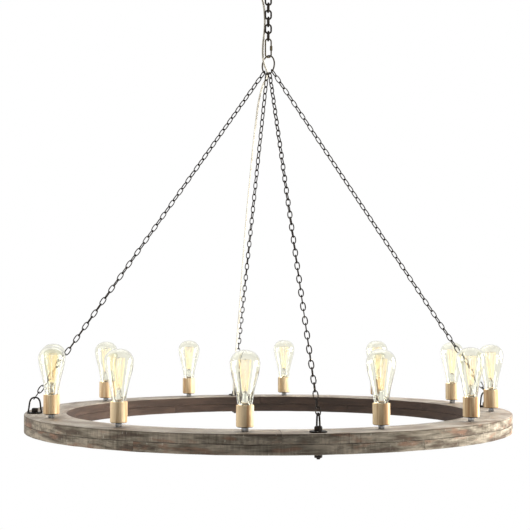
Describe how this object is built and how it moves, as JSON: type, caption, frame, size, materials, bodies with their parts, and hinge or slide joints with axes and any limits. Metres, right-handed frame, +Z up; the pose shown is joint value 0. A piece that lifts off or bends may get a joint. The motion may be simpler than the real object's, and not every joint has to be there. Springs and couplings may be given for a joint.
{
  "type": "wagon wheel chandelier",
  "caption": "Wooden wagon wheel rim hung by leg chains from a ring, with tall clear bulbs in wooden socket sleeves, a short chain, a canopy and a lamp cord.",
  "frame": {"origin": "centre of the ceiling crossbar's two screw holes, on the ceiling plane", "axes": "+Z up out of the ceiling, +X along the crossbar and towards the right-hand bracket, +Y towards the rear bracket beside the cord"},
  "size_m": [1.22, 1.22, 1.2118],
  "materials": {
    "plated_steel": "satin zinc plate",
    "dark_iron": "dark oil-rubbed iron",
    "black_bolt": "black oxide",
    "olive_brass": "aged olive brass",
    "bronze_chain": "dark bronze, satin",
    "weathered_wood": "rough-sawn, weathered grey-brown",
    "pale_wood": "turned, oiled",
    "black_phenolic": "matte",
    "rubber": "matte",
    "ivory_cord": "soft vinyl",
    "clear_glass": "clear, thin",
    "bulb_metal": "screw cap and warm filament"
  },
  "bodies": {
    "ceiling_fitting": {"crossbar": "plated_steel", "canopy": "dark_iron", "canopy_nipple": "plated_steel", "canopy_locknut": "dark_iron", "canopy_loop": "dark_iron", "cord_bushing": "rubber"},
    "link_1": {"main_link_1": "bronze_chain"},
    "main_chain": {"main_link_2": "bronze_chain", "main_link_3": "bronze_chain", "main_link_4": "bronze_chain", "main_link_5": "bronze_chain", "main_link_6": "bronze_chain", "main_link_7": "bronze_chain"},
    "quick_link": {"quick_link": "olive_brass"},
    "quick_link_nut": {"quick_link_nut": "olive_brass"},
    "wheel": {"gather_ring": "dark_iron", "leg_chain_right": "bronze_chain", "leg_chain_rear": "bronze_chain", "leg_chain_left": "bronze_chain", "leg_chain_front": "bronze_chain", "chain_arches": "dark_iron", "bracket_discs": "dark_iron", "bracket_bolts": "black_bolt", "bracket_nuts": "black_bolt", "upper_felloes": "weathered_wood", "lower_felloes": "weathered_wood", "wiring_harness": "ivory_cord", "socket_stems": "plated_steel", "socket_covers": "pale_wood", "lampholders": "black_phenolic", "cord_grommet": "rubber", "cord": "ivory_cord"},
    "bulb_1": {"glass_bulb_1": "clear_glass", "bulb_base_1": "bulb_metal"},
    "bulb_2": {"glass_bulb_2": "clear_glass", "bulb_base_2": "bulb_metal"},
    "bulb_3": {"glass_bulb_3": "clear_glass", "bulb_base_3": "bulb_metal"},
    "bulb_4": {"glass_bulb_4": "clear_glass", "bulb_base_4": "bulb_metal"},
    "bulb_5": {"glass_bulb_5": "clear_glass", "bulb_base_5": "bulb_metal"},
    "bulb_6": {"glass_bulb_6": "clear_glass", "bulb_base_6": "bulb_metal"},
    "bulb_7": {"glass_bulb_7": "clear_glass", "bulb_base_7": "bulb_metal"},
    "bulb_8": {"glass_bulb_8": "clear_glass", "bulb_base_8": "bulb_metal"},
    "bulb_9": {"glass_bulb_9": "clear_glass", "bulb_base_9": "bulb_metal"},
    "bulb_10": {"glass_bulb_10": "clear_glass", "bulb_base_10": "bulb_metal"},
    "bulb_11": {"glass_bulb_11": "clear_glass", "bulb_base_11": "bulb_metal"},
    "bulb_12": {"glass_bulb_12": "clear_glass", "bulb_base_12": "bulb_metal"}
  },
  "joints": [
    {"name": "link_1_swing", "type": "hinge", "parent": "ceiling_fitting", "child": "link_1", "pos_m": [0, 0, -0.0737], "axis": [1, 0, 0], "range_deg": [-20, 20]},
    {"name": "main_chain_swing", "type": "hinge", "parent": "link_1", "child": "main_chain", "pos_m": [0, 0, -0.0923], "axis": [0, 1, 0], "range_deg": [-20, 20]},
    {"name": "quick_link_swing", "type": "hinge", "parent": "main_chain", "child": "quick_link", "pos_m": [0, 0, -0.2039], "axis": [0, 1, 0], "range_deg": [-25, 25]},
    {"name": "quick_link_nut_travel", "type": "slide", "parent": "quick_link", "child": "quick_link_nut", "axis": [0, 0, 1], "range_m": [0, 0.009]},
    {"name": "wheel_swing", "type": "hinge", "parent": "quick_link", "child": "wheel", "pos_m": [0, 0, -0.2481], "axis": [1, 0, 0], "range_deg": [-25, 25], "deforming": ["cord"]},
    {"name": "bulb_1_unscrew", "type": "slide", "parent": "wheel", "child": "bulb_1", "axis": [0, 0, 1], "range_m": [0, 0.03]},
    {"name": "bulb_2_unscrew", "type": "slide", "parent": "wheel", "child": "bulb_2", "axis": [0, 0, 1], "range_m": [0, 0.03]},
    {"name": "bulb_3_unscrew", "type": "slide", "parent": "wheel", "child": "bulb_3", "axis": [0, 0, 1], "range_m": [0, 0.03]},
    {"name": "bulb_4_unscrew", "type": "slide", "parent": "wheel", "child": "bulb_4", "axis": [0, 0, 1], "range_m": [0, 0.03]},
    {"name": "bulb_5_unscrew", "type": "slide", "parent": "wheel", "child": "bulb_5", "axis": [0, 0, 1], "range_m": [0, 0.03]},
    {"name": "bulb_6_unscrew", "type": "slide", "parent": "wheel", "child": "bulb_6", "axis": [0, 0, 1], "range_m": [0, 0.03]},
    {"name": "bulb_7_unscrew", "type": "slide", "parent": "wheel", "child": "bulb_7", "axis": [0, 0, 1], "range_m": [0, 0.03]},
    {"name": "bulb_8_unscrew", "type": "slide", "parent": "wheel", "child": "bulb_8", "axis": [0, 0, 1], "range_m": [0, 0.03]},
    {"name": "bulb_9_unscrew", "type": "slide", "parent": "wheel", "child": "bulb_9", "axis": [0, 0, 1], "range_m": [0, 0.03]},
    {"name": "bulb_10_unscrew", "type": "slide", "parent": "wheel", "child": "bulb_10", "axis": [0, 0, 1], "range_m": [0, 0.03]},
    {"name": "bulb_11_unscrew", "type": "slide", "parent": "wheel", "child": "bulb_11", "axis": [0, 0, 1], "range_m": [0, 0.03]},
    {"name": "bulb_12_unscrew", "type": "slide", "parent": "wheel", "child": "bulb_12", "axis": [0, 0, 1], "range_m": [0, 0.03]}
  ]
}
